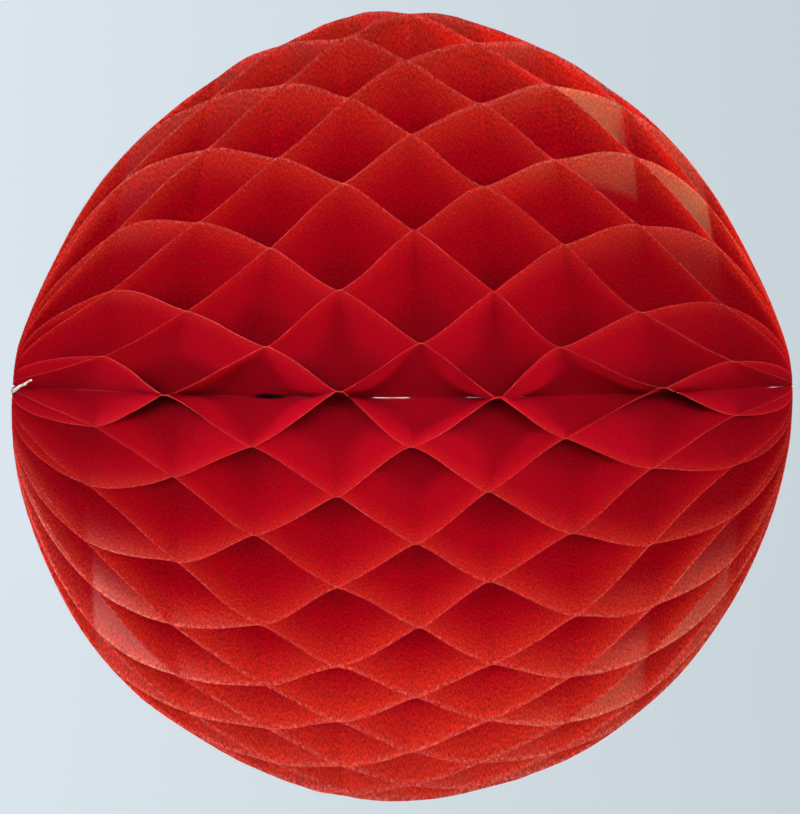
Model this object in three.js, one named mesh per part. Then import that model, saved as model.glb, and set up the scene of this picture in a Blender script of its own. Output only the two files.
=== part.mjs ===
// A honeycomb paper ball: half-disc leaves of tissue paper, bound along one straight edge and
// fanned once round that spine. Each leaf is glued to its two neighbours by turns, at bands that
// stand square to the spine, so the leaves open into cells.
// Millimetres, +Z up. The spine runs along X and the ball's centre is the origin.
import * as THREE from 'three';

// The ball
const ballRadius = 100;
const spineRise = 2.5; // how far the middle of the spine lies over the ball's centre
const poleLift = 3; // how far the spine's ends lie over its middle
const roundness = 2.2; // a leaf's outline: 2 is a half circle, more is fuller at the shoulders

// The leaves
const leafCount = 48; // even, so that the glue bands still alternate where the fan closes
const leafThickness = 0.4;
const poleEdge = 3; // height of the short edge where a leaf ends at each pole
const topSpread = 0.23; // share by which the leaves stand wider apart on top, and closer below
const sideCrowding = 0.08; // share by which they stand closer at the front and the back

// The glue bands
const gluePitch = 20.7; // from one band to the next, along the flat leaf
const glueOffset = 3; // from the middle of the leaf to its nearest band
const glueWidth = 5;
const glueGap = 0.3; // clearance between two glued faces
const curveSlack = 1.12; // how much more a curved leaf draws in along the spine than a straight one

// The crowded stretch beside the spine, where the paper takes these shares of its leaf's room
const spinePaperShare = 0.4;
const spineGapShare = 0.3;

// The binding thread
const threadRadius = 0.4;
const threadClearance = 0.3;
const threadLeftInset = 0.4; // from the left pole to the thread's end
const threadRightInset = 3.5;
const threadSides = 8;
const threadSteps = 16;

const poleSteps = 3; // steps along the rim from the last glue band to the pole

const tissueRed = 0xc41425;
const threadWhite = 0xf1eee6;

const leafTurn = (2 * Math.PI) / leafCount;
const spineBore = threadRadius + threadClearance;

// Direction of the fan at an even turn round the spine: 0 faces the front, a quarter turn is up
function fanAngle(turn) {
  return turn + topSpread * (1 - Math.cos(turn)) - (sideCrowding / 2) * Math.sin(2 * turn);
}

// Angle between neighbouring leaves there
function fanPitch(turn) {
  return leafTurn * (1 + topSpread * Math.sin(turn) - sideCrowding * Math.cos(2 * turn));
}

function spineHeight(x) {
  return spineRise + poleLift * (x / ballRadius) ** 2;
}

// Height of a flat leaf's rim over its straight edge, and the place where the rim has that height
function outline(distance) {
  const share = Math.abs(distance) / ballRadius;
  return ballRadius * (1 - share ** roundness) ** (1 / roundness);
}

// Rim of a standing leaf, measured from the spine: the ball's centre lies a little below the spine
function rimReach(flatX, turn) {
  return outline(flatX) * (1 - (spineRise / ballRadius) * Math.sin(fanAngle(turn)));
}

// Point of a leaf, from its place on the flat sheet. A zigzag leaf is shorter along the spine than
// a flat one, the more so the further out the leaves have opened.
function standingPoint(turn, flatX, reach, sideways) {
  const slope = (curveSlack * reach * fanPitch(turn)) / gluePitch;
  const x = flatX / Math.hypot(1, slope);
  const angle = fanAngle(turn);
  const y = sideways * Math.sin(angle) - reach * Math.cos(angle);
  const z = sideways * Math.cos(angle) + reach * Math.sin(angle);
  return new THREE.Vector3(x, y, z + spineHeight(x));
}

// Stations along the flat leaf. At each glue band the leaf leans fully to one neighbour (1) or to
// the other (-1), and at the poles its free ends stand midway (0).
function leafStations() {
  const poleX = outline(poleEdge);
  const lastBand = poleX - glueWidth;
  const stations = [];
  const firstColumn = Math.ceil((-lastBand - glueOffset) / gluePitch);
  const lastColumn = Math.floor((lastBand - glueOffset) / gluePitch);
  for (let column = firstColumn; column <= lastColumn; column++) {
    const bandX = glueOffset + column * gluePitch;
    const lean = column % 2 === 0 ? 1 : -1;
    stations.push({ flatX: bandX - glueWidth / 2, lean }, { flatX: bandX + glueWidth / 2, lean });
  }
  const leftEnd = poleStations(stations[0], poleX).reverse();
  const rightEnd = poleStations(stations[stations.length - 1], poleX);
  return [...leftEnd, ...stations, ...rightEnd];
}

// Stations from the last glue band out to the pole, spaced evenly round the outline
function poleStations(band, poleX) {
  const side = Math.sign(band.flatX);
  const bandX = Math.abs(band.flatX);
  const aroundOutline = (flatX) => Math.atan2(outline(flatX), flatX);
  const stations = [];
  for (let step = 1; step <= poleSteps; step++) {
    const around = THREE.MathUtils.lerp(aroundOutline(bandX), aroundOutline(poleX), step / poleSteps);
    const size = Math.cos(around) ** roundness + Math.sin(around) ** roundness;
    const flatX = (ballRadius * Math.cos(around)) / size ** (1 / roundness);
    stations.push({ flatX: side * flatX, lean: (band.lean * (poleX - flatX)) / (poleX - bandX) });
  }
  return stations;
}

// The two faces of a leaf at one height over the spine
function leafSection(turn, lean, flatX, reach, thicknessShare) {
  const room = reach * fanPitch(turn);
  const thickness = thicknessShare * Math.min(leafThickness, spinePaperShare * room);
  const gap = Math.min(glueGap, spineGapShare * room);
  const middle = (-lean * (gap + thickness)) / 2;
  return [
    standingPoint(turn, flatX, reach, middle + thickness / 2),
    standingPoint(turn, flatX, reach, middle - thickness / 2),
  ];
}

// A leaf is a thin closed shell: it starts as a sharp edge at the spine and has its full thickness
// from halfway out to the rim. Points at each station: spine, upper and lower halfway, rim.
function leafGeometry(index) {
  const flip = index % 2 === 0 ? 1 : -1;
  const points = [];
  for (const station of leafStations()) {
    const lean = flip * station.lean;
    const turn = (index + 0.5 + lean / 2) * leafTurn;
    const rim = rimReach(station.flatX, turn);
    const halfway = (spineBore + rim) / 2;
    points.push(leafSection(turn, lean, station.flatX, spineBore, 0)[0]);
    points.push(...leafSection(turn, lean, station.flatX, halfway, 1));
    points.push(...leafSection(turn, lean, station.flatX, rim, 1));
  }
  const perStation = 5;
  const [spine, upperMid, lowerMid, upperRim, lowerRim] = [0, 1, 2, 3, 4];
  const faces = [];
  const quad = (a, b, c, d) => faces.push(a, b, c, a, c, d);
  const last = points.length - perStation;
  for (let here = 0; here < last; here += perStation) {
    const next = here + perStation;
    faces.push(here + spine, here + upperMid, next + upperMid);
    faces.push(here + spine, next + upperMid, next + spine);
    quad(here + upperMid, here + upperRim, next + upperRim, next + upperMid);
    quad(here + upperRim, here + lowerRim, next + lowerRim, next + upperRim);
    quad(here + lowerMid, next + lowerMid, next + lowerRim, here + lowerRim);
    faces.push(here + spine, next + lowerMid, here + lowerMid);
    faces.push(here + spine, next + spine, next + lowerMid);
  }
  faces.push(spine, lowerMid, upperMid);
  quad(upperMid, lowerMid, lowerRim, upperRim);
  faces.push(last + spine, last + upperMid, last + lowerMid);
  quad(last + upperMid, last + upperRim, last + lowerRim, last + lowerMid);
  const geometry = new THREE.BufferGeometry().setFromPoints(points);
  geometry.setIndex(faces);
  geometry.computeVertexNormals();
  return geometry;
}

function makeLeaf(index) {
  const tissue = new THREE.MeshStandardMaterial({ color: tissueRed, roughness: 0.85, metalness: 0 });
  const leaf = new THREE.Mesh(leafGeometry(index), tissue);
  leaf.name = `leaf_${String(index + 1).padStart(2, '0')}`;
  return leaf;
}

// The thread follows the spine's curve from one pole to the other
function makeThread() {
  const startX = threadLeftInset - ballRadius;
  const endX = ballRadius - threadRightInset;
  const tangentsMeet = spineRise + (poleLift * startX * endX) / ballRadius ** 2;
  const spine = new THREE.QuadraticBezierCurve3(
    new THREE.Vector3(startX, 0, spineHeight(startX)),
    new THREE.Vector3((startX + endX) / 2, 0, tangentsMeet),
    new THREE.Vector3(endX, 0, spineHeight(endX)),
  );
  const section = new THREE.Shape().absarc(0, 0, threadRadius, 0, 2 * Math.PI);
  const geometry = new THREE.ExtrudeGeometry(section, {
    extrudePath: spine,
    steps: threadSteps,
    curveSegments: threadSides,
  });
  const cotton = new THREE.MeshStandardMaterial({ color: threadWhite, roughness: 0.9, metalness: 0 });
  const thread = new THREE.Mesh(geometry, cotton);
  thread.name = 'binding_thread';
  return thread;
}

const honeycombBall = new THREE.Group();
for (let index = 0; index < leafCount; index++) {
  honeycombBall.add(makeLeaf(index));
}
honeycombBall.add(makeThread());

export default honeycombBall;
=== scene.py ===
import bpy
import math
import random
from functools import lru_cache
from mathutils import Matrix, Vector, noise
from mathutils.geometry import interpolate_bezier


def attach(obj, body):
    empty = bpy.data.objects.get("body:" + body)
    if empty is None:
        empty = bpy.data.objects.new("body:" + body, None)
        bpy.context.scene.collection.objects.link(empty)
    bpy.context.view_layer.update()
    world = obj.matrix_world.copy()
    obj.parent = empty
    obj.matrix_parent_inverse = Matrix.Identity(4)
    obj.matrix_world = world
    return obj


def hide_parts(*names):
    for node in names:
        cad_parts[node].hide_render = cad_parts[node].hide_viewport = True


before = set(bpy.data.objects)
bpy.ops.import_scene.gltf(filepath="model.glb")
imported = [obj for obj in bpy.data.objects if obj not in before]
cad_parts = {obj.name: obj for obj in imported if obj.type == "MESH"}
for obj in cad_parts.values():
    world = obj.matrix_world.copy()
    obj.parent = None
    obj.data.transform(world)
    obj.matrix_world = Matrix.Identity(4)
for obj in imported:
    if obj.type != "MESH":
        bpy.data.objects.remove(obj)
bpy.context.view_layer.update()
bpy.ops.object.select_all(action="DESELECT")
leafNodes = sorted(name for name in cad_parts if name.startswith("leaf_"))
leafCount = len(leafNodes)
print("frame loaded:", leafCount, "leaves and the thread")


def smooth(value):
    value = max(0, min(1, value))
    return value * value * (3 - 2 * value)


def mix(a, b, share):
    return a + (b - a) * share


# the opened ball, in metres: the same fan as the solids
ball = {
    "radius": 0.1,
    "spineRise": 0.0025,  # middle of the spine over the ball's centre
    "poleLift": 0.003,  # ends of the spine over its middle
    "roundness": 2.2,  # outline of a flat leaf: 2 is a half circle
    "topSpread": 0.23,  # leaves stand wider apart on top and closer below
    "sideCrowding": 0.08,  # and closer at the front and the back
    "gluePitch": 0.0207,  # from one glue band to the next on the flat leaf
    "glueOffset": 0.003,
    "curveSlack": 1.12,  # how much a curved leaf draws in along the spine
    "warp": 0.0018,  # unevenness of a ball opened by hand
    "warpSize": 0.045,
    "warpShift": (3.1, 7.7, 1.9),  # which stretch of the noise is used
    "noiseSeed": 2,
    # fuller and slacker places of the outline: direction in degrees from +X to +Z, half width, push
    "bulges": [
        (90, 9, 0.0016),
        (222, 34, 0.0029),
        (320, 17, 0.0018),
        (18, 14, -0.0022),
        (48, 13, 0.0012),
        (76, 8, -0.0006),
        (106, 8, -0.0007),
        (125, 16, -0.0010),
        (162, 14, -0.0024),
        (255, 9, -0.0006),
        (296, 13, 0.0006),
    ],
    "bulgeStart": 0.02,  # distance from the spine where they have their full push
}
leafTurn = 2 * math.pi / leafCount
noise.seed_set(ball["noiseSeed"])  # unseeded, the vector noise differs at each run


def fanAngle(turn):
    lean = ball["topSpread"] * (1 - math.cos(turn))
    return turn + lean - ball["sideCrowding"] / 2 * math.sin(2 * turn)


def fanPitch(turn):
    spread = ball["topSpread"] * math.sin(turn) - ball["sideCrowding"] * math.cos(2 * turn)
    return leafTurn * (1 + spread)


def spineHeight(x):
    return ball["spineRise"] + ball["poleLift"] * (x / ball["radius"]) ** 2


def outline(distance):
    share = min(1, abs(distance) / ball["radius"])
    return ball["radius"] * (1 - share ** ball["roundness"]) ** (1 / ball["roundness"])


# both leaves of a glued band move alike, and the spine stays where it is
def warped(point):
    reach = math.hypot(point.y, point.z)
    push = noise.noise_vector(point / ball["warpSize"] + Vector(ball["warpShift"]))
    moved = point + push * ball["warp"] * smooth(reach / ball["radius"])
    side = Vector((point.x, 0, point.z))
    direction = math.degrees(math.atan2(point.z, point.x))
    full = smooth(reach / ball["bulgeStart"]) * (side.length / ball["radius"]) ** 2
    for middle, width, height in ball["bulges"]:
        off = (direction - middle + 180) % 360 - 180
        moved += side.normalized() * height * full * math.exp(-(off / width) ** 2)
    return moved


# nodes
def newMaterial(name):
    material = bpy.data.materials.new(name)
    material.use_nodes = True
    material.node_tree.nodes.clear()
    return material, material.node_tree.nodes, material.node_tree.links


def addNode(nodes, kind, place, **values):
    node = nodes.new(kind)
    node.location = place
    for key, value in values.items():
        setattr(node, key, value)
    return node


def addRange(nodes, place, low, high, start=0, end=1):
    node = addNode(nodes, "ShaderNodeMapRange", place)
    node.inputs["From Min"].default_value = low
    node.inputs["From Max"].default_value = high
    node.inputs["To Min"].default_value = start
    node.inputs["To Max"].default_value = end
    return node


def addMath(nodes, place, operation, second=None):
    node = addNode(nodes, "ShaderNodeMath", place, operation=operation)
    if second is not None:
        node.inputs[1].default_value = second
    return node


# colour mix: a colour is either written or comes from a socket
def addTint(nodes, links, place, share, first, second):
    node = addNode(nodes, "ShaderNodeMix", place, data_type="RGBA")
    links.new(share, node.inputs["Factor"])
    for socket, colour in ((node.inputs[6], first), (node.inputs[7], second)):
        if isinstance(colour, tuple):
            socket.default_value = colour
        else:
            links.new(colour, socket)
    return node.outputs[2]


# pressed fibres of paper and spun yarn: fine grain with crossing strands, and broad clouds
fibreLook = {
    "detail": 1,
    "grainRoughness": 0.65,
    "strandStretch": (1.0, 0.35, 1),  # strands run out from the spine
    "strandShare": 0.6,
}


def makeFibreGroup():
    group = bpy.data.node_groups.new("pressedFibres", "ShaderNodeTree")
    group.interface.new_socket("Vector", in_out="INPUT", socket_type="NodeSocketVector")
    for name in ("Grain Scale", "Cloud Scale"):
        group.interface.new_socket(name, in_out="INPUT", socket_type="NodeSocketFloat")
    for name in ("Grain", "Cloud"):
        group.interface.new_socket(name, in_out="OUTPUT", socket_type="NodeSocketFloat")
    nodes = group.nodes
    links = group.links
    start = addNode(nodes, "NodeGroupInput", (-700, 0))
    end = addNode(nodes, "NodeGroupOutput", (500, 0))
    grain = addNode(nodes, "ShaderNodeTexNoise", (-400, 200))
    grain.inputs["Roughness"].default_value = fibreLook["grainRoughness"]
    stretch = addNode(nodes, "ShaderNodeMapping", (-400, -60))
    stretch.inputs["Scale"].default_value = fibreLook["strandStretch"]
    strands = addNode(nodes, "ShaderNodeTexNoise", (-200, -20))
    cloud = addNode(nodes, "ShaderNodeTexNoise", (-200, -300))
    for texture in (grain, strands, cloud):
        texture.inputs["Detail"].default_value = fibreLook["detail"]
    both = addNode(nodes, "ShaderNodeMix", (100, 120))
    both.inputs["Factor"].default_value = fibreLook["strandShare"]
    for mapped in (grain, cloud, stretch):
        links.new(start.outputs["Vector"], mapped.inputs["Vector"])
    links.new(stretch.outputs["Vector"], strands.inputs["Vector"])
    links.new(start.outputs["Grain Scale"], grain.inputs["Scale"])
    links.new(start.outputs["Grain Scale"], strands.inputs["Scale"])
    links.new(start.outputs["Cloud Scale"], cloud.inputs["Scale"])
    links.new(grain.outputs["Fac"], both.inputs[2])
    links.new(strands.outputs["Fac"], both.inputs[3])
    links.new(both.outputs[0], end.inputs["Grain"])
    links.new(cloud.outputs["Fac"], end.inputs["Cloud"])
    return group


# red tissue: most light passes it, and a painted light glow pales it softly towards the cut rim
tissue = {
    "red": (0.68, 0.0042, 0.018, 1),
    "rimGlowRed": (1.0, 0.088, 0.034, 1),
    "edgeHighlightRed": (1.0, 0.30, 0.23, 1),
    "throughRed": (0.86, 0.0038, 0.022, 1),
    "throughRimGlow": (1.0, 0.068, 0.027, 1),
    "throughEdgeHighlight": (1.0, 0.25, 0.18, 1),
    "grainShade": (0.42, 0.16, 0.36, 1),  # the darker fibres
    "through": 0.72,  # share of the light that passes the sheet
    "roughness": (0.30, 0.44),
    "gloss": 0.5,
    "density": 1.6,  # index of refraction of the pressed surface
    "fuzz": 1.0,  # sheen of the loose fibres
    "fuzzRoughness": 0.5,
    "fuzzTint": (1.0, 0.008, 0.032, 1),
    "rimGlowBand": (0.83, 1.0),  # where the painted rim glow lies: the spine is 0 and the rim 1
    "rimGlowFade": 1.6,
    "edgeHighlightBand": (0.984, 0.997),  # the cut edge itself, with a painted highlight in places
    "grainScale": 300.0,  # the map has 1 to 100 mm
    "grainRange": (0.41, 0.59),  # stretch of the noise that goes from dark to light
    "cloudScale": 95.0,
    "cloudRange": (0.3, 0.7),
    "clouds": 0.33,  # their share of the mottle
    "roughRange": (0.38, 0.62),
    "bump": 0.7,
    "bumpHeight": 0.0002,
}
# plain sheet, painted light glow towards the rim and painted highlight at the cut edge
tissueTones = {
    "red": (tissue["red"], tissue["rimGlowRed"], tissue["edgeHighlightRed"]),
    "through": (tissue["throughRed"], tissue["throughRimGlow"], tissue["throughEdgeHighlight"]),
}


# painted shade: a dark slit of shade painted on the two front leaves at one place of the spine, where
# they meet over the thread
slitShade = {
    # near-black colour of the painted shade
    "tone": (0.006, 0.004, 0.014, 1),
    "place": -0.0338,  # along the spine
    "half": 0.0058,
    "depth": 0.0088,  # out from the spine
    "edge": (0.6, 1.0),  # its soft edge, as shares of that size
    "faces": (0.0085, 0.011),  # half width and depth of the faces it lies on
}


# mask of that painted shade: a spindle along the spine
def addSlitShadeMask(nodes, links, place, sheetShare):
    fit = addNode(nodes, "ShaderNodeMapping", place)
    across = ball["radius"] / slitShade["half"]
    outward = ball["radius"] / slitShade["depth"]
    fit.inputs["Scale"].default_value = (across, outward, 0)
    fit.inputs["Location"].default_value = (-slitShade["place"] / slitShade["half"], 0, 0)
    links.new(sheetShare, fit.inputs["Vector"])
    away = addNode(nodes, "ShaderNodeVectorMath", (place[0] + 200, place[1]), operation="LENGTH")
    links.new(fit.outputs["Vector"], away.inputs[0])
    slitShadeMask = addRange(nodes, (place[0] + 400, place[1]), *slitShade["edge"], 1, 0)
    links.new(away.outputs["Value"], slitShadeMask.inputs["Value"])
    return slitShadeMask.outputs["Result"]


def makeTissue(name, fibreGroup, slitShaded):
    material, nodes, links = newMaterial(name)
    sheetMap = addNode(nodes, "ShaderNodeUVMap", (-1300, 0), uv_map="flatSheet")
    fibres = addNode(nodes, "ShaderNodeGroup", (-1100, 0), node_tree=fibreGroup)
    fibres.inputs["Grain Scale"].default_value = tissue["grainScale"]
    fibres.inputs["Cloud Scale"].default_value = tissue["cloudScale"]
    links.new(sheetMap.outputs["UV"], fibres.inputs["Vector"])
    grain = addRange(nodes, (-850, 100), *tissue["grainRange"])
    links.new(fibres.outputs["Grain"], grain.inputs["Value"])
    cloud = addRange(nodes, (-850, -150), *tissue["cloudRange"])
    links.new(fibres.outputs["Cloud"], cloud.inputs["Value"])
    mottle = addNode(nodes, "ShaderNodeMix", (-650, 50))
    mottle.inputs["Factor"].default_value = tissue["clouds"]
    links.new(grain.outputs["Result"], mottle.inputs[2])
    links.new(cloud.outputs["Result"], mottle.inputs[3])
    shareMap = addNode(nodes, "ShaderNodeUVMap", (-1100, 400), uv_map="sheetShare")
    apart = addNode(nodes, "ShaderNodeSeparateXYZ", (-850, 400))
    links.new(shareMap.outputs["UV"], apart.inputs["Vector"])
    # share of the painted light glow towards the rim
    rim = addRange(nodes, (-650, 400), *tissue["rimGlowBand"])
    links.new(apart.outputs["Y"], rim.inputs["Value"])
    pale = addMath(nodes, (-450, 400), "POWER", tissue["rimGlowFade"])
    links.new(rim.outputs["Result"], pale.inputs[0])
    # painted highlight along the cut edge, in cloudy places
    cut = addRange(nodes, (-650, 650), *tissue["edgeHighlightBand"])
    links.new(apart.outputs["Y"], cut.inputs["Value"])
    edge = addMath(nodes, (-450, 650), "MULTIPLY")
    links.new(cut.outputs["Result"], edge.inputs[0])
    links.new(cloud.outputs["Result"], edge.inputs[1])
    shade = addTint(nodes, links, (-400, 50), mottle.outputs[0], tissue["grainShade"], (1, 1, 1, 1))
    tones = []
    slitShadeMask = addSlitShadeMask(nodes, links, (-650, 900), shareMap.outputs["UV"]) if slitShaded else None
    for side, up in (("red", 250), ("through", -50)):
        plain, rimGlowTone, edgeHighlightTone = tissueTones[side]
        tone = addTint(nodes, links, (-400, up), pale.outputs[0], plain, rimGlowTone)
        tone = addTint(nodes, links, (-250, up), edge.outputs[0], tone, edgeHighlightTone)
        grained = addNode(nodes, "ShaderNodeMix", (-100, up), data_type="RGBA", blend_type="MULTIPLY")
        grained.inputs["Factor"].default_value = 1
        links.new(tone, grained.inputs[6])
        links.new(shade, grained.inputs[7])
        tone = grained.outputs[2]
        if slitShaded:
            # inside the spindle both tones go over into the painted shade
            tone = addTint(nodes, links, (0, up), slitShadeMask, tone, slitShade["tone"])
        tones.append(tone)
    red, passed = tones
    rough = addRange(nodes, (-400, -300), *tissue["roughRange"], *tissue["roughness"])
    links.new(fibres.outputs["Grain"], rough.inputs["Value"])
    bump = addNode(nodes, "ShaderNodeBump", (-150, -300))
    bump.inputs["Strength"].default_value = tissue["bump"]
    bump.inputs["Distance"].default_value = tissue["bumpHeight"]
    links.new(fibres.outputs["Grain"], bump.inputs["Height"])
    front = addNode(nodes, "ShaderNodeBsdfPrincipled", (100, 300))
    front.inputs["Specular IOR Level"].default_value = tissue["gloss"]
    front.inputs["IOR"].default_value = tissue["density"]
    front.inputs["Sheen Weight"].default_value = tissue["fuzz"]
    front.inputs["Sheen Roughness"].default_value = tissue["fuzzRoughness"]
    front.inputs["Sheen Tint"].default_value = tissue["fuzzTint"]
    # no sheen inside the painted shade, so that it stays dark
    if slitShaded:
        fuzz = addRange(nodes, (-100, 900), 0, 1, tissue["fuzz"], 0)
        links.new(slitShadeMask, fuzz.inputs["Value"])
        links.new(fuzz.outputs["Result"], front.inputs["Sheen Weight"])
    links.new(red, front.inputs["Base Color"])
    links.new(rough.outputs["Result"], front.inputs["Roughness"])
    links.new(bump.outputs["Normal"], front.inputs["Normal"])
    behind = addNode(nodes, "ShaderNodeBsdfTranslucent", (100, -200))
    links.new(passed, behind.inputs["Color"])
    links.new(bump.outputs["Normal"], behind.inputs["Normal"])
    sheet = addNode(nodes, "ShaderNodeMixShader", (450, 100))
    sheet.inputs["Fac"].default_value = tissue["through"]
    links.new(front.outputs["BSDF"], sheet.inputs[1])
    links.new(behind.outputs["BSDF"], sheet.inputs[2])
    out = addNode(nodes, "ShaderNodeOutputMaterial", (650, 100))
    links.new(sheet.outputs["Shader"], out.inputs["Surface"])
    return material


# white cotton yarn
yarn = {
    "light": (0.70, 0.68, 0.65, 1),
    "shade": (0.38, 0.35, 0.33, 1),
    "roughness": (0.75, 0.95),
    "gloss": 0.25,
    "grainScale": 2500.0,
    "cloudScale": 300.0,
    "roughRange": (0.3, 0.7),
    "bump": 0.5,
    "bumpHeight": 0.0001,
}


def makeYarn(fibreGroup):
    material, nodes, links = newMaterial("whiteYarn")
    place = addNode(nodes, "ShaderNodeTexCoord", (-900, 0))
    fibres = addNode(nodes, "ShaderNodeGroup", (-650, 0), node_tree=fibreGroup)
    fibres.inputs["Grain Scale"].default_value = yarn["grainScale"]
    fibres.inputs["Cloud Scale"].default_value = yarn["cloudScale"]
    links.new(place.outputs["Object"], fibres.inputs["Vector"])
    tone = addTint(nodes, links, (-350, 200), fibres.outputs["Grain"], yarn["shade"], yarn["light"])
    rough = addRange(nodes, (-350, 0), *yarn["roughRange"], *yarn["roughness"])
    links.new(fibres.outputs["Cloud"], rough.inputs["Value"])
    bump = addNode(nodes, "ShaderNodeBump", (-350, -250))
    bump.inputs["Strength"].default_value = yarn["bump"]
    bump.inputs["Distance"].default_value = yarn["bumpHeight"]
    links.new(fibres.outputs["Cloud"], bump.inputs["Height"])
    cotton = addNode(nodes, "ShaderNodeBsdfPrincipled", (0, 100))
    cotton.inputs["Specular IOR Level"].default_value = yarn["gloss"]
    links.new(tone, cotton.inputs["Base Color"])
    links.new(rough.outputs["Result"], cotton.inputs["Roughness"])
    links.new(bump.outputs["Normal"], cotton.inputs["Normal"])
    out = addNode(nodes, "ShaderNodeOutputMaterial", (300, 100))
    links.new(cotton.outputs["BSDF"], out.inputs["Surface"])
    return material


fibreGroup = makeFibreGroup()
redTissue = makeTissue("redTissue", fibreGroup, False)
# the same tissue with the painted shade of the slit at the spine
slitShadedTissue = makeTissue("slitShadedTissue", fibreGroup, True)
whiteYarn = makeYarn(fibreGroup)
print("materials made")


# one leaf: a half disc of tissue, cut flat, copied and then opened
leafSheet = {
    "bandSteps": (0.0, 0.0005, 0.001, 0.0015),  # columns of points on each side of a glue band
    "stripSteps": 11,  # and over the free strip to the next band
    "poleSteps": 14,
    "rows": 12,
    "rimCrowding": 1.35,  # rows stand closer towards the rim
    "spineGap": 0.0007,  # inner edge to the middle of the thread
    "poleEdge": 0.003,  # height of the short edge at each pole
    "poleMargin": 0.005,  # no glue band lies nearer to a pole
    "thickness": 0.00006,
    "glueFilm": 0.00003,
    "bandHalf": (0.0002, 0.0007),  # half of a glue band's width
    "curl": (0.0, 0.6),  # how round the rim's fold at a band is: 0 is crisp; less towards the poles
    "foldSoft": (0.5, 0.97),  # deep in the cell the folds are round, and they sharpen up to the rim
    "bandDrift": 0.0011,  # how far a band strays along the spine
    "turnDrift": 0.10,  # and round it, as a share of the pitch
    "press": 0.95,  # at the spine the leaves are pressed together in pairs
    "pressReach": 0.005,
    "spineRoom": 0.4,  # most that a leaf stands off its pair there, as a share of its room
    "leastHeight": 0.0005,  # paper that is left over the deepest nick
    "rimDrift": 0.0003,  # uneven cut
    "rimDriftSize": 0.006,
    "rimDriftStep": 3.7,  # from one leaf to the next in its noise
    "rimDriftPower": 4,  # the higher, the nearer it stays to the rim
    "crinkle": 0.0003,  # soft dents of the free paper
    "crinkleSize": 0.011,
    "crinkleStep": 0.05,
    "crinkleReach": 0.03,  # distance from the spine where the dents are full
    "fibreStep": 2.37,  # no two leaves show the same fibres
    "smoothAngle": 35,
    "seed": 11,
}

frontLeaves = (0, leafCount - 1)  # the two that meet in the row facing front

# where those two end short of the spine: place along it, half width, depth
spineNicks = [
    (-0.0029, 0.0036, 0.0065),
    (0.0188, 0.0020, 0.0160),
    (0.0302, 0.0011, 0.0060),
    (0.0960, 0.0014, 0.0040),
]
nickReach = 1.5  # half widths from a nick's middle to its end
# the glued bands that face front: stray along the spine and half width, by column
frontBands = {
    -3: (-0.0038, 0.0008),
    -1: (0.0005, 0.0011),
    1: (0.0018, 0.0010),
    3: (0.0042, 0.0008),
}
poleX = outline(leafSheet["poleEdge"])
lastBand = poleX - leafSheet["poleMargin"]
firstColumn = math.ceil((-lastBand - ball["glueOffset"]) / ball["gluePitch"])
lastColumn = math.floor((lastBand - ball["glueOffset"]) / ball["gluePitch"])


def bandX(column):
    return ball["glueOffset"] + column * ball["gluePitch"]


# each glued band strays a little and has a width and a fold of its own, the same for both leaves
chance = random.Random(leafSheet["seed"])
bandStray = {}
for seam in range(leafCount):
    for column in range(firstColumn, lastColumn + 1):
        along = chance.uniform(-1, 1) * leafSheet["bandDrift"]
        around = chance.uniform(-1, 1) * leafSheet["turnDrift"] * leafTurn
        half = chance.uniform(*leafSheet["bandHalf"])
        if seam == 0 and column in frontBands:
            along, half = frontBands[column]
        curl = chance.uniform(*leafSheet["curl"]) * (1 - (bandX(column) / poleX) ** 2)
        bandStray[seam, column] = (along, around, half, curl)


# columns of points along the flat leaf, closer together at the folds
def leafStations():
    stations = set()
    widest = leafSheet["bandSteps"][-1]
    for column in range(firstColumn, lastColumn + 1):
        for step in leafSheet["bandSteps"]:
            stations |= {bandX(column) - step, bandX(column) + step}
        if column < lastColumn:
            run = ball["gluePitch"] - 2 * widest
            steps = leafSheet["stripSteps"]
            stations |= {bandX(column) + widest + run * step / steps for step in range(1, steps)}
    steps = leafSheet["poleSteps"]
    for side, start in ((-1, min(stations)), (1, max(stations))):
        for step in range(1, steps + 1):
            stations.add(mix(start, side * poleX, math.sin(step / steps * math.pi / 2)))
    return sorted(stations)


@lru_cache(maxsize=None)
def bandsOf(index):
    bands = [(-poleX, 0, 0, 0, 0, 0)]
    for column in range(firstColumn, lastColumn + 1):
        lean = 1 if (column + index) % 2 == 0 else -1
        seam = (index + (1 + lean) // 2) % leafCount
        bands.append((bandX(column), lean, *bandStray[seam, column]))
    bands.append((poleX, 0, 0, 0, 0, 0))
    return bands


# a leaf between its bands: lean to its neighbours at the rim and deep inside, 1 or -1 at a band,
# and how far it strays along the spine and round it
@lru_cache(maxsize=None)
def foldAt(index, flatX):
    bands = bandsOf(index)
    after = 1
    while after < len(bands) - 1 and flatX > bands[after][0]:
        after += 1
    startX, startLean, startAlong, startAround, startHalf, startCurl = bands[after - 1]
    endX, endLean, endAlong, endAround, endHalf, endCurl = bands[after]
    run = (flatX - startX - startHalf) / (endX - endHalf - startX - startHalf)
    run = max(0, min(1, run))
    soft = smooth(run)
    run = soft + run * (1 - run) * ((1 - run) * (1 - startCurl) - run * (1 - endCurl))
    strays = (mix(startAlong, endAlong, run), mix(startAround, endAround, run))
    return mix(startLean, endLean, run), mix(startLean, endLean, soft), *strays


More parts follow.
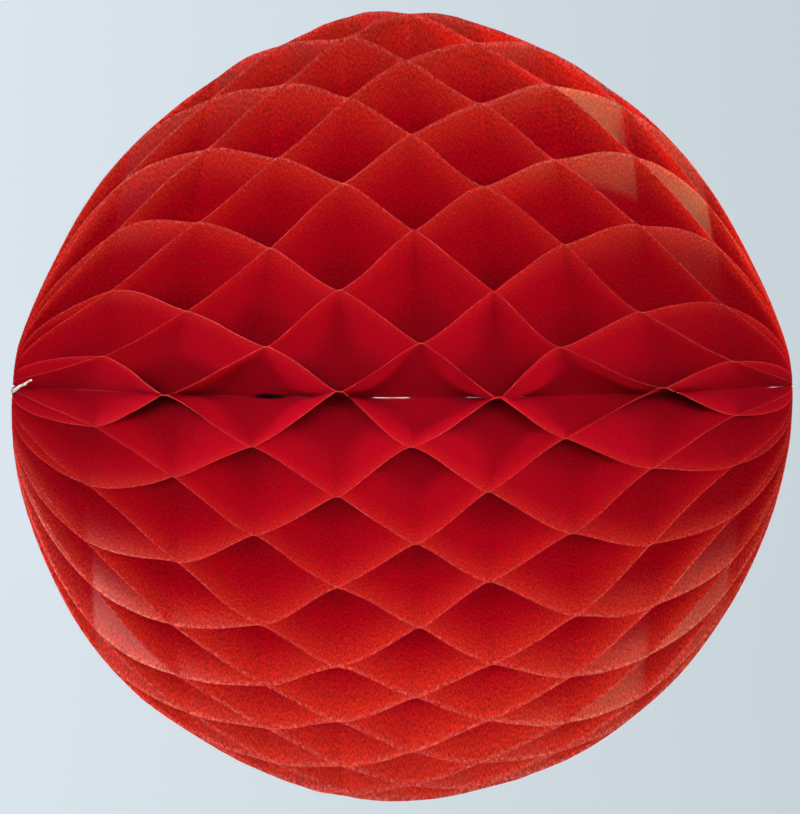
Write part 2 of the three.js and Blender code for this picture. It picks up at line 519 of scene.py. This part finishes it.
def cutLeaf():
    stations = leafStations()
    columns = len(stations) - 1
    bpy.ops.mesh.primitive_grid_add(x_subdivisions=columns, y_subdivisions=leafSheet["rows"], size=2)
    sheet = bpy.context.object
    sheet.name = "flatLeaf"
    for point in sheet.data.vertices:
        flatX = stations[round((point.co.x + 1) / 2 * columns)]
        up = 1 - (0.5 - point.co.y / 2) ** leafSheet["rimCrowding"]
        point.co = (flatX, mix(leafSheet["spineGap"], outline(flatX), up), 0)
    sheet.data.uv_layers[0].name = "sheetShare"
    sheet.data.uv_layers.new(name="flatSheet")
    shareMap = sheet.data.uv_layers["sheetShare"]
    flatMap = sheet.data.uv_layers["flatSheet"]
    for corner in sheet.data.loops:
        place = sheet.data.vertices[corner.vertex_index].co / ball["radius"]
        rim = outline(place.x * ball["radius"]) / ball["radius"]
        shareMap.data[corner.index].uv = (place.x, place.y / rim)
        flatMap.data[corner.index].uv = (place.x, place.y)
    sheet.data.materials.append(redTissue)
    return sheet


# inner edge of a leaf: the front two stop short where the thread shows
def innerEdge(index, flatX):
    edge = leafSheet["spineGap"]
    if index in frontLeaves:
        for middle, half, depth in spineNicks:
            edge += depth * smooth(nickReach - abs(flatX - middle) / half)
    return edge


# a point of the flat leaf, moved to where it stands in the opened ball
def standingPoint(index, flat):
    lean, softLean, along, around = foldAt(index, round(flat.x, 7))
    rim = outline(flat.x)
    edge = min(innerEdge(index, flat.x), rim - leafSheet["leastHeight"])
    up = (flat.y - leafSheet["spineGap"]) / (rim - leafSheet["spineGap"])
    height = mix(edge, rim, up)
    roundFrom, crispFrom = leafSheet["foldSoft"]
    lean = mix(softLean, lean, smooth((up - roundFrom) / (crispFrom - roundFrom)))
    press = leafSheet["press"] if index % 2 else -leafSheet["press"]
    lean = mix(press, lean, smooth(height / leafSheet["pressReach"]))
    turn = (index + 0.5 + lean / 2) * leafTurn
    angle = fanAngle(turn + around)
    free = 1 - lean * lean
    cut = noise.noise(Vector((flat.x / leafSheet["rimDriftSize"], index * leafSheet["rimDriftStep"], 0)))
    reach = height * (1 - ball["spineRise"] / ball["radius"] * math.sin(angle))
    reach += leafSheet["rimDrift"] * cut * free * up ** leafSheet["rimDriftPower"]
    room = reach * fanPitch(turn)
    slope = ball["curveSlack"] * room / ball["gluePitch"]
    x = (flat.x + along * up) / math.hypot(1, slope)
    stack = (leafSheet["thickness"] + leafSheet["glueFilm"]) / 2
    sideways = -lean * min(stack, leafSheet["spineRoom"] * room)
    dentPlace = Vector((flat.x, flat.y, index * leafSheet["crinkleStep"]))
    dents = noise.noise(dentPlace / leafSheet["crinkleSize"])
    sideways += leafSheet["crinkle"] * dents * free * smooth(height / leafSheet["crinkleReach"])
    y = sideways * math.sin(angle) - reach * math.cos(angle)
    z = sideways * math.cos(angle) + reach * math.sin(angle)
    return warped(Vector((x, y, z))) + Vector((0, 0, spineHeight(x)))


def openLeaf(sheet, index):
    leaf = sheet.copy()
    leaf.data = sheet.data.copy()
    leaf.name = "tissueLeaf" + leafNodes[index][-2:]
    bpy.context.scene.collection.objects.link(leaf)
    for corner in leaf.data.uv_layers["flatSheet"].data:
        corner.uv.x += index * leafSheet["fibreStep"]
    # the two front leaves get the painted shade on the faces round the slit
    if index in frontLeaves:
        leaf.data.materials.append(slitShadedTissue)
        half, depth = slitShade["faces"]
        for face in leaf.data.polygons:
            inSlitShade = abs(face.center.x - slitShade["place"]) < half and face.center.y < depth
            face.material_index = 1 if inSlitShade else 0
    for point in leaf.data.vertices:
        point.co = standingPoint(index, point.co)
    bpy.ops.object.select_all(action="DESELECT")
    leaf.select_set(True)
    bpy.context.view_layer.objects.active = leaf
    paper = leaf.modifiers.new("paper", "SOLIDIFY")
    paper.thickness = leafSheet["thickness"]
    paper.offset = 0
    bpy.ops.object.modifier_apply(modifier=paper.name)
    bpy.ops.object.shade_smooth_by_angle(angle=math.radians(leafSheet["smoothAngle"]))
    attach(leaf, "root")
    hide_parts(leafNodes[index])


flatLeaf = cutLeaf()
for index in range(leafCount):
    openLeaf(flatLeaf, index)
bpy.data.objects.remove(flatLeaf)
print("leaves opened")


# binding thread: two plies twisted round each other, with a loose tail over the left pole
thread = {
    "left": -0.0996,
    "right": 0.0965,
    "plies": 2,
    "plyRadius": 0.00025,
    "plyRoundness": 1,
    "plyOffset": 0.00021,
    "twist": 0.0021,  # length of one turn
    "stepsPerTurn": 10,
    # the tail runs along the front seam: points from its end to the pole, heights over the spine
    "tail": [
        (-0.0925, -0.0380, 0.0008),
        (-0.0953, -0.0310, -0.0002),
        (-0.0975, -0.0240, -0.0012),
        (-0.0990, -0.0150, -0.0015),
        (-0.0998, -0.0060, -0.0008),
        (-0.0996, 0.0000, 0.0000),
    ],
    "tailSteps": 34,  # from one of its points to the next
    "fray": 0.0006,  # how far the plies part at its end
    "frayReach": 0.006,
    "looseSteps": 31,  # steps at its end over which the plies lie untwisted
}


# middle line of the thread, from the end of its tail to the right pole
def threadLine():
    tail = [Vector((x, y, spineHeight(thread["left"]) + rise)) for x, y, rise in thread["tail"]]
    line = []
    for number in range(len(tail) - 1):
        before = tail[max(0, number - 1)]
        start, end = tail[number], tail[number + 1]
        after = tail[min(len(tail) - 1, number + 2)]
        pull = (end - before) / 6
        push = (after - start) / 6
        line += interpolate_bezier(start, start + pull, end - push, end, thread["tailSteps"])[:-1]
    span = thread["right"] - thread["left"]
    steps = round(span / thread["twist"] * thread["stepsPerTurn"])
    for step in range(steps + 1):
        x = thread["left"] + span * step / steps
        line.append(Vector((x, 0, spineHeight(x))))
    return line


def spinPly(number):
    line = threadLine()
    steps = len(line) - 1
    path = bpy.data.curves.new("ply", "CURVE")
    path.dimensions = "3D"
    path.bevel_depth = thread["plyRadius"]
    path.bevel_resolution = thread["plyRoundness"]
    path.use_fill_caps = True
    spline = path.splines.new("POLY")
    spline.points.add(steps)
    for step, point in enumerate(spline.points):
        turns = max(step, thread["looseSteps"]) / thread["stepsPerTurn"]
        spin = 2 * math.pi * (turns + number / thread["plies"])
        ahead = (line[min(step + 1, steps)] - line[max(step - 1, 0)]).normalized()
        across = ahead.cross(Vector((0, 0, 1))).normalized()
        up = across.cross(ahead)
        loose = smooth(1 - (line[step] - line[0]).length / thread["frayReach"])
        apart = thread["plyOffset"] + thread["fray"] * loose
        aside = (across * math.cos(spin) + up * math.sin(spin)) * apart
        point.co = (*(line[step] + aside), 1)
    ply = bpy.data.objects.new("ply", path)
    bpy.context.scene.collection.objects.link(ply)
    return ply


def twistThread():
    plies = [spinPly(number) for number in range(thread["plies"])]
    bpy.ops.object.select_all(action="DESELECT")
    for ply in plies:
        ply.select_set(True)
    bpy.context.view_layer.objects.active = plies[0]
    bpy.ops.object.convert(target="MESH")
    bpy.ops.object.join()
    twisted = bpy.context.object
    twisted.name = "twistedThread"
    twisted.data.materials.clear()
    twisted.data.materials.append(whiteYarn)
    bpy.ops.object.shade_smooth()
    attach(twisted, "root")
    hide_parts("binding_thread")


twistThread()
print("thread twisted")


# floor and backdrop: one pale sweep, with a painted light falloff that makes it paler on the left
sweep = {
    "floor": -0.6,
    "wall": 2.6,
    "width": 9.0,
    "height": 5.0,
    "bend": 1.2,
    "bendSteps": 16,
    "left": (0.765, 0.845, 0.915, 1),
    "right": (0.62, 0.695, 0.745, 1),
    "falloffSpan": (-0.4, 0.4),  # places between which the one goes over into the other
    "shown": 0.92,  # share of its colour that is seen as written
}


# mask for the rays that look at the background: the eye's own, and those in gloss or through glass,
# but not the light that spreads in the tissue
def addSeenRays(nodes, links, place):
    ray = addNode(nodes, "ShaderNodeLightPath", place)
    clear = addMath(nodes, (place[0] + 200, place[1] - 200), "SUBTRACT")
    clear.use_clamp = True
    links.new(ray.outputs["Is Transmission Ray"], clear.inputs[0])
    links.new(ray.outputs["Is Diffuse Ray"], clear.inputs[1])
    plain = addMath(nodes, (place[0] + 200, place[1]), "MAXIMUM")
    links.new(ray.outputs["Is Camera Ray"], plain.inputs[0])
    links.new(ray.outputs["Is Glossy Ray"], plain.inputs[1])
    seen = addMath(nodes, (place[0] + 400, place[1]), "MAXIMUM")
    links.new(plain.outputs[0], seen.inputs[0])
    links.new(clear.outputs[0], seen.inputs[1])
    return seen.outputs[0]


def makeSweepCard():
    material, nodes, links = newMaterial("paleCard")
    place = addNode(nodes, "ShaderNodeTexCoord", (-900, 0))
    apart = addNode(nodes, "ShaderNodeSeparateXYZ", (-700, 0))
    across = addRange(nodes, (-500, 0), *sweep["falloffSpan"])
    links.new(place.outputs["Object"], apart.inputs["Vector"])
    links.new(apart.outputs["X"], across.inputs["Value"])
    # painted light falloff across the sweep, from left to right
    pale = addTint(nodes, links, (-300, 0), across.outputs["Result"], sweep["left"], sweep["right"])
    card = addNode(nodes, "ShaderNodeBsdfDiffuse", (0, 100))
    links.new(pale, card.inputs["Color"])
    glow = addNode(nodes, "ShaderNodeEmission", (0, -100))
    links.new(pale, glow.inputs["Color"])
    shown = addMath(nodes, (300, 400), "MULTIPLY", sweep["shown"])
    links.new(addSeenRays(nodes, links, (-300, 400)), shown.inputs[0])
    both = addNode(nodes, "ShaderNodeMixShader", (450, 100))
    links.new(shown.outputs[0], both.inputs["Fac"])
    links.new(card.outputs["BSDF"], both.inputs[1])
    links.new(glow.outputs["Emission"], both.inputs[2])
    out = addNode(nodes, "ShaderNodeOutputMaterial", (650, 100))
    links.new(both.outputs["Shader"], out.inputs["Surface"])
    return material


def laySweep():
    bpy.ops.object.select_all(action="DESELECT")
    bpy.ops.mesh.primitive_plane_add(size=sweep["width"])
    card = bpy.context.object
    card.name = "paleSweep"
    for point in card.data.vertices:
        point.co += Vector((0, sweep["wall"] - sweep["width"] / 2, sweep["floor"]))
    bpy.ops.object.mode_set(mode="EDIT")
    bpy.ops.mesh.select_all(action="DESELECT")
    bpy.ops.object.mode_set(mode="OBJECT")
    for edge in card.data.edges:
        edge.select = all(card.data.vertices[n].co.y > 0 for n in edge.vertices)
    bpy.ops.object.mode_set(mode="EDIT")
    bpy.ops.mesh.select_mode(type="EDGE")
    bpy.ops.mesh.extrude_region_move(TRANSFORM_OT_translate={"value": (0, 0, sweep["height"])})
    bpy.ops.object.mode_set(mode="OBJECT")
    bend = card.modifiers.new("bend", "BEVEL")
    bend.width = sweep["bend"]
    bend.segments = sweep["bendSteps"]
    bpy.ops.object.modifier_apply(modifier=bend.name)
    bpy.ops.object.shade_smooth()
    card.data.materials.append(makeSweepCard())


laySweep()

# lamps, each turned to the ball: place, side lengths, power and tint
# soft lights: a warm one low on the right, one on the left, one over the lens and a weak one behind
softLights = {
    "rightLow": ((1.05, -0.18, -0.62), (0.45, 1.3), 5.2, (1.0, 0.84, 0.46)),
    "leftSide": ((-1.15, -0.5, -0.45), (0.7, 0.7), 3.1, (1.0, 0.86, 0.80)),
    "topFront": ((0.0, -0.9, 1.0), (0.7, 0.7), 0.8, (1.0, 0.90, 0.80)),
    "backStrip": ((0.5, 1.05, 0.3), (1.2, 1.2), 3.0, (1.0, 0.92, 0.84)),
}
# panels that show only as a soft gloss: warm on the right-hand facets, pale on the lower left
glossPanels = {
    "lowPanel": ((1.05, -0.18, -0.62), (0.34, 0.34), 32.0, (1.0, 0.90, 0.40)),
    "highPanel": ((1.05, -0.18, 0.62), (0.4, 0.4), 9.0, (1.0, 0.90, 0.55)),
    "hazePanel": ((-0.7, -0.2, 0.85), (0.9, 0.7), 30.0, (1.0, 0.88, 0.80)),
}
# narrow beams that reach down into the cells: beside the lens, at the left front, behind and above
# place, aim, power, cone in degrees and how much wider than high the beam is
beams = {
    "axisBeam": ((0.0, -1.3, 0.02), (0, 0, 0), 300.0, 2.6, 6.0),
    "middleBeam": ((0.0, -1.3, 0.03), (0, 0, 0), 225.0, 5.0, 3.0),
    "leftBeam": ((-0.5, -1.2, 0.03), (0, 0, 0), 55.0, 4.0, 3.5),
    "rightBeam": ((0.5, -1.2, 0.03), (0, 0, 0), 165.0, 4.0, 3.5),
    "overBeam": ((-0.5, -1.1, 0.5), (-0.05, -0.05, -0.05), 85.0, 6.0, 1.2),
    "levelBeam": ((-0.6, -1.1, -0.1), (-0.05, -0.05, -0.06), 190.0, 6.0, 1.2),
    "backBeam": ((0.45, 1.35, 0.6), (0.0, 0.06, 0.02), 330.0, 9.5, 1.0),
    "backLow": ((-0.55, 1.35, -0.1), (0.0, 0.06, -0.02), 240.0, 9.5, 1.0),
    "topBeam": ((0.0, 0.12, 1.5), (0.0, 0.02, 0.0), 85.0, 6.5, 1.6),
}
beamSoftness = 0.12


def hangLight(kind, name, place, aim, power):
    turn = (Vector(place) - Vector(aim)).to_track_quat("Z", "Y").to_euler()
    bpy.ops.object.light_add(type=kind, location=place, rotation=turn)
    light = bpy.context.object
    light.name = name
    light.data.energy = power
    return light


def hangLights():
    for name, (place, size, power, tint) in (softLights | glossPanels).items():
        light = hangLight("AREA", name, place, (0, 0, 0), power)
        light.data.shape = "RECTANGLE"
        light.data.size, light.data.size_y = size
        light.data.color = tint
        light.visible_diffuse = name not in glossPanels
        light.visible_transmission = name not in glossPanels
        light.visible_glossy = name != "leftSide"  # no haze on the upper left
    for name, (place, aim, power, cone, wide) in beams.items():
        light = hangLight("SPOT", name, place, aim, power)
        light.data.shadow_soft_size = beamSoftness
        light.data.spot_size = math.radians(cone)
        light.data.spot_blend = 1
        light.scale = (wide, 1, 1)
        light.visible_glossy = False  # no highlights on the cells


hangLights()

# pale room: it shines weakly, and looks pale where it is seen
room = {"tint": (0.86, 0.92, 0.97, 1), "power": 0.05, "seen": (0.66, 0.73, 0.78, 1)}


def lightRoom():
    world = bpy.data.worlds.new("paleRoom")
    bpy.context.scene.world = world
    world.use_nodes = True
    nodes = world.node_tree.nodes
    links = world.node_tree.links
    nodes.clear()
    shine = addNode(nodes, "ShaderNodeBackground", (0, 100))
    shine.inputs["Color"].default_value = room["tint"]
    shine.inputs["Strength"].default_value = room["power"]
    view = addNode(nodes, "ShaderNodeBackground", (0, -100))
    view.inputs["Color"].default_value = room["seen"]
    both = addNode(nodes, "ShaderNodeMixShader", (300, 0))
    links.new(addSeenRays(nodes, links, (-600, 300)), both.inputs["Fac"])
    links.new(shine.outputs["Background"], both.inputs[1])
    links.new(view.outputs["Background"], both.inputs[2])
    out = addNode(nodes, "ShaderNodeOutputWorld", (500, 0))
    links.new(both.outputs["Shader"], out.inputs["Surface"])


lightRoom()

# camera straight on, level with the ball's centre
eye = {
    "distance": 0.9,
    "ballPixels": 388.0,  # radius of the ball in the 800 x 814 picture
    "centre": (403.0, 407.5),
    "picture": (800, 814),
    "sensor": 36.0,
    "nearest": 0.01,
}


def placeCamera():
    bpy.ops.object.camera_add(location=(0, -eye["distance"], 0), rotation=(math.pi / 2, 0, 0))
    camera = bpy.context.object
    wide, high = eye["picture"]
    camera.data.sensor_fit = "HORIZONTAL"
    camera.data.sensor_width = eye["sensor"]
    camera.data.lens = eye["ballPixels"] * eye["distance"] / ball["radius"] / wide * eye["sensor"]
    camera.data.shift_x = (wide / 2 - eye["centre"][0]) / wide
    camera.data.shift_y = (eye["centre"][1] - high / 2) / wide
    camera.data.clip_start = eye["nearest"]
    bpy.context.scene.camera = camera


placeCamera()
bpy.context.scene.view_settings.view_transform = "Standard"
bounces = {"diffuse": 6, "most": 8}  # light wanders far between the leaves
bpy.context.scene.cycles.diffuse_bounces = bounces["diffuse"]
bpy.context.scene.cycles.max_bounces = bounces["most"]
print("stage, lights and camera set")
